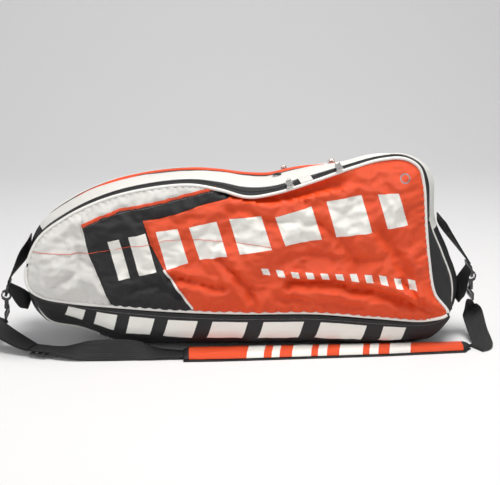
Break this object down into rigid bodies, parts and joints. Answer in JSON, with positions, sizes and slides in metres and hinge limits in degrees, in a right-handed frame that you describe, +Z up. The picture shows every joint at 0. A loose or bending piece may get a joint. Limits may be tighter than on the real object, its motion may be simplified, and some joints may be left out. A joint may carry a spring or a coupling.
{
  "type": "racket tournament bag",
  "caption": "Soft racket bag with two zipped compartments on a centre gusset, white piping, strap anchors, D-rings, snap hooks and a padded shoulder strap.",
  "frame": {"origin": "middle of the flat base, where the bag stands", "axes": "+X along the bag to its tall end, -Y is the front, +Z up"},
  "size_m": [0.9271, 0.2444, 0.35],
  "materials": {
    "orange_nylon": "orange-red coated nylon, soft sheen",
    "white_nylon": "off-white coated nylon",
    "black_polyester": "black polyester canvas",
    "black_webbing": "woven black webbing",
    "white_trim": "white coated piping",
    "grey_lining": "grey lining",
    "silver_metal": "nickel plated",
    "dark_metal": "dark nickel",
    "black_plastic": "moulded black plastic"
  },
  "bodies": {
    "bag": {"front_piping_lower": "white_trim", "front_seam_piping": "white_trim", "front_zip_tape_bag": "black_polyester", "front_bridge_bag": "white_trim", "front_end_panel": "black_polyester", "front_base_band": "black_polyester", "back_piping_lower": "white_trim", "back_seam_piping": "white_trim", "back_zip_tape_bag": "black_polyester", "back_bridge_bag": "white_trim", "back_end_panel": "black_polyester", "back_base_band": "black_polyester", "centre_gusset_top": "white_nylon", "centre_gusset_right": "black_polyester", "centre_base": "black_polyester", "centre_gusset_left": "black_polyester", "centre_divider": "grey_lining", "gusset_eyelet": "dark_metal", "right_anchor_upper": "black_webbing", "right_anchor_lower": "black_webbing", "right_hook_eye": "dark_metal", "left_anchor_upper": "black_webbing", "left_anchor_lower": "black_webbing", "left_hook_eye": "dark_metal", "strap_webbing_right": "black_webbing", "strap_webbing_left": "black_webbing", "pad_backing": "black_polyester", "pad_cover": "orange_nylon", "strap_adjuster": "black_plastic"},
    "front_flap": {"front_panel_body": "orange_nylon", "front_panel_band": "black_polyester", "front_panel_nose": "white_nylon", "front_panel_crescent": "white_nylon", "front_slant_piping": "white_trim", "front_piping_upper": "white_trim", "front_zip_tape_flap": "black_polyester", "front_bridge_flap": "white_trim", "front_accent_binding": "orange_nylon"},
    "back_flap": {"back_panel_body": "orange_nylon", "back_panel_band": "black_polyester", "back_panel_nose": "white_nylon", "back_panel_crescent": "white_nylon", "back_slant_piping": "white_trim", "back_piping_upper": "white_trim", "back_zip_tape_flap": "black_polyester", "back_bridge_flap": "white_trim"},
    "front_zip_slider_left": {"front_zip_slider_left": "silver_metal"},
    "front_zip_pull_left": {"front_zip_pull_left": "silver_metal"},
    "front_zip_slider_right": {"front_zip_slider_right": "silver_metal"},
    "front_zip_pull_right": {"front_zip_pull_right": "silver_metal"},
    "back_zip_slider_left": {"back_zip_slider_left": "silver_metal"},
    "back_zip_pull_left": {"back_zip_pull_left": "silver_metal"},
    "back_zip_slider_right": {"back_zip_slider_right": "silver_metal"},
    "back_zip_pull_right": {"back_zip_pull_right": "silver_metal"},
    "right_d_ring": {"right_d_ring": "silver_metal"},
    "right_snap_hook": {"right_snap_hook": "dark_metal"},
    "right_hook_gate": {"right_hook_gate": "silver_metal"},
    "left_d_ring": {"left_d_ring": "silver_metal"},
    "left_snap_hook": {"left_snap_hook": "dark_metal"},
    "left_hook_gate": {"left_hook_gate": "silver_metal"}
  },
  "joints": [
    {"name": "front_flap_hinge", "type": "hinge", "parent": "bag", "child": "front_flap", "pos_m": [-0.35, -0.0926, 0.109], "axis": [0.9972, -0.0082, -0.0748], "range_deg": [0, 15]},
    {"name": "back_flap_hinge", "type": "hinge", "parent": "bag", "child": "back_flap", "pos_m": [-0.35, 0.0946, 0.109], "axis": [-0.9972, -0.0051, 0.0748], "range_deg": [0, 15]},
    {"name": "front_left_zip_run", "type": "slide", "parent": "front_flap", "child": "front_zip_slider_left", "axis": [-0.977, 0, -0.2132], "range_m": [0, 0.044]},
    {"name": "front_left_pull_swing", "type": "hinge", "parent": "front_zip_slider_left", "child": "front_zip_pull_left", "pos_m": [0.08233, -0.05489, 0.30653], "axis": [-0.9533, 0, -0.3019], "range_deg": [0, 130]},
    {"name": "front_right_zip_run", "type": "slide", "parent": "front_flap", "child": "front_zip_slider_right", "axis": [0.9513, 0, 0.3084], "range_m": [0, 0.07]},
    {"name": "front_right_pull_swing", "type": "hinge", "parent": "front_zip_slider_right", "child": "front_zip_pull_right", "pos_m": [0.16901, -0.05294, 0.33494], "axis": [-0.9513, 0, -0.3084], "range_deg": [0, 130]},
    {"name": "back_left_zip_run", "type": "slide", "parent": "back_flap", "child": "back_zip_slider_left", "axis": [-0.9854, 0, -0.17], "range_m": [0, 0.04]},
    {"name": "back_left_pull_swing", "type": "hinge", "parent": "back_zip_slider_left", "child": "back_zip_pull_left", "pos_m": [0.08281, 0.0594, 0.30878], "axis": [0.9684, 0, 0.2493], "range_deg": [0, 130]},
    {"name": "back_right_zip_run", "type": "slide", "parent": "back_flap", "child": "back_zip_slider_right", "axis": [0.9798, 0, 0.2], "range_m": [0, 0.05]},
    {"name": "back_right_pull_swing", "type": "hinge", "parent": "back_zip_slider_right", "child": "back_zip_pull_right", "pos_m": [0.17166, 0.05861, 0.32065], "axis": [0.9963, 0, 0.0861], "range_deg": [0, 130]},
    {"name": "right_ring_swing", "type": "hinge", "parent": "bag", "child": "right_d_ring", "pos_m": [0.421, 0, 0.134], "axis": [0, 1, 0], "range_deg": [-6, 6]},
    {"name": "right_hook_swivel", "type": "hinge", "parent": "bag", "child": "right_snap_hook", "pos_m": [0.42704, 0, 0.11129], "axis": [0, 0, 1], "range_deg": [-15, 15]},
    {"name": "right_gate_press", "type": "hinge", "parent": "right_snap_hook", "child": "right_hook_gate", "pos_m": [0.43434, 0, 0.10729], "axis": [0, -1, 0], "range_deg": [0, 15], "stiffness_Nm_per_rad": 0.02, "springref_deg": -11.46},
    {"name": "left_ring_swing", "type": "hinge", "parent": "bag", "child": "left_d_ring", "pos_m": [-0.42, 0, 0.11], "axis": [0, 1, 0], "range_deg": [-6, 6]},
    {"name": "left_hook_swivel", "type": "hinge", "parent": "bag", "child": "left_snap_hook", "pos_m": [-0.42604, 0, 0.08729], "axis": [0, 0, 1], "range_deg": [-15, 15]},
    {"name": "left_gate_press", "type": "hinge", "parent": "left_snap_hook", "child": "left_hook_gate", "pos_m": [-0.43334, 0, 0.08329], "axis": [0, 1, 0], "range_deg": [0, 15], "stiffness_Nm_per_rad": 0.02, "springref_deg": -11.46}
  ]
}
